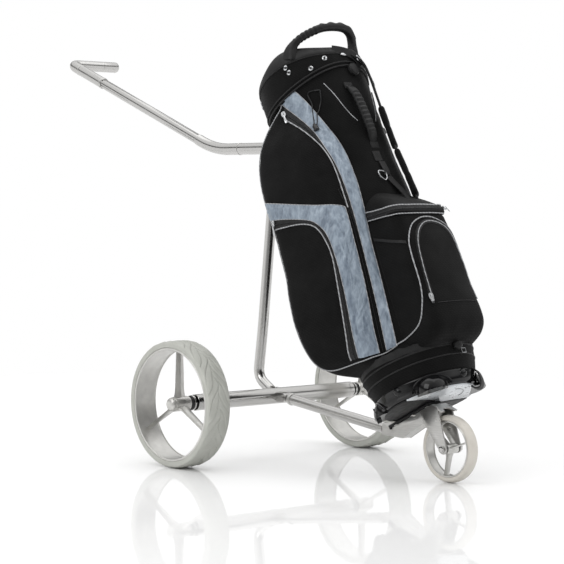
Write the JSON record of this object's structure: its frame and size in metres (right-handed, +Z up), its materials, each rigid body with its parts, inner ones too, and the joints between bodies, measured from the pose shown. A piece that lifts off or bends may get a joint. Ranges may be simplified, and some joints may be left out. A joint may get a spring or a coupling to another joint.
{
  "type": "golf bag on push cart",
  "caption": "Stainless three-wheeled push cart with a one-hand side grip, carrying a leaning black golf bag with side and front pockets, piping and a carry handle.",
  "frame": {"origin": "on the ground, at the centre of the bounding box", "axes": "+X forwards to the front wheel, +Y to the cart's left, +Z up"},
  "size_m": [1.4715, 0.647, 1.0142],
  "materials": {
    "polished_steel": "bright drawn stainless tube",
    "brushed_steel": "brushed stainless",
    "wheel_alloy": "satin cast alloy",
    "grey_tyre": "matt grey soft tyre",
    "pale_tyre": "smooth pale grey tyre",
    "bearing_steel": "ground steel",
    "black_rubber": "matt black rubber",
    "black_plastic": "black moulded plastic",
    "gloss_plastic": "gloss black moulding",
    "silver_plastic": "silver painted moulding",
    "black_cloth": "woven black polyester",
    "lining_cloth": "plain lining cloth",
    "webbing": "woven black webbing",
    "satin_cloth": "blue-grey satin weave",
    "piping_cloth": "silver grey corded piping",
    "bright_zinc": "plated zip pulls and eyelets"
  },
  "bodies": {
    "frame": {"axle_tube": "brushed_steel", "right_axle_pin": "polished_steel", "left_axle_pin": "polished_steel", "post_tube": "polished_steel", "handle_bracket": "brushed_steel", "handle_tilt_pin": "polished_steel", "bag_holder": "brushed_steel", "holder_pad": "black_rubber", "strut_lug": "polished_steel", "strut_pin": "polished_steel"},
    "strut": {"strut_tube": "polished_steel", "strut_lock_ring": "brushed_steel", "rest_bar": "brushed_steel", "rest_pad": "black_rubber", "front_fork": "brushed_steel", "front_axle_bolt": "polished_steel", "front_axle_nut": "polished_steel", "front_spacer_right": "black_plastic", "front_spacer_left": "black_plastic"},
    "front_wheel": {"front_rim": "wheel_alloy", "front_tyre": "pale_tyre", "front_bearing": "bearing_steel"},
    "right_wheel": {"right_rim": "wheel_alloy", "right_tyre": "grey_tyre", "right_bearing": "bearing_steel", "right_hub_cap": "wheel_alloy"},
    "left_wheel": {"left_rim": "wheel_alloy", "left_tyre": "grey_tyre", "left_bearing": "bearing_steel", "left_hub_cap": "wheel_alloy"},
    "right_release": {"right_release_collar": "black_plastic"},
    "left_release": {"left_release_collar": "black_plastic"},
    "handle": {"handle_lower_tube": "polished_steel", "handle_ring": "brushed_steel", "handle_elbow": "polished_steel", "handle_upper_tube": "polished_steel"},
    "grip": {"grip_corner_tube": "polished_steel", "grip_end_sleeve": "polished_steel"},
    "bag": {"bag_body": "black_cloth", "base_cup": "gloss_plastic", "base_plate": "silver_plastic", "bag_cuff": "black_cloth", "bag_rim": "black_plastic", "club_divider": "black_plastic", "divider_wall_front": "lining_cloth", "divider_wall_rear": "lining_cloth", "right_upper_pocket": "black_cloth", "right_lower_pocket": "black_cloth", "left_upper_pocket": "black_cloth", "left_lower_pocket": "black_cloth", "front_pocket": "black_cloth", "flap_pocket": "black_cloth", "top_handle": "black_rubber", "grab_handle": "black_rubber", "shoulder_strap": "black_cloth", "lower_strap": "webbing"}
  },
  "joints": [
    {"name": "right_wheel_spin", "type": "hinge", "parent": "frame", "child": "right_wheel", "pos_m": [0.0905, -0.292, 0.145], "axis": [0, 1, 0], "continuous": true},
    {"name": "left_wheel_spin", "type": "hinge", "parent": "frame", "child": "left_wheel", "pos_m": [0.0905, 0.292, 0.145], "axis": [0, 1, 0], "continuous": true},
    {"name": "front_wheel_spin", "type": "hinge", "parent": "strut", "child": "front_wheel", "pos_m": [0.6625, 0, 0.0735], "axis": [0, 1, 0], "continuous": true},
    {"name": "strut_fold", "type": "hinge", "parent": "frame", "child": "strut", "pos_m": [0.1285, 0, 0.144], "axis": [0, 1, 0], "range_deg": [0, 95]},
    {"name": "handle_tilt", "type": "hinge", "parent": "frame", "child": "handle", "pos_m": [0.0945, 0, 0.733], "axis": [0, 1, 0], "range_deg": [-36, 10]},
    {"name": "grip_turn", "type": "hinge", "parent": "handle", "child": "grip", "pos_m": [-0.7215, 0, 0.965], "axis": [-0.9306, 0, 0.3659], "range_deg": [0, 180]},
    {"name": "right_wheel_release", "type": "slide", "parent": "frame", "child": "right_release", "axis": [0, 1, 0], "range_m": [0, 0.0035], "stiffness_N_per_m": 800, "springref_m": -0.002},
    {"name": "left_wheel_release", "type": "slide", "parent": "frame", "child": "left_release", "axis": [0, -1, 0], "range_m": [0, 0.0035], "stiffness_N_per_m": 800, "springref_m": -0.002},
    {"name": "bag_lift", "type": "slide", "parent": "frame", "child": "bag", "axis": [-0.4509, 0, 0.8926], "range_m": [0, 0.12]}
  ]
}
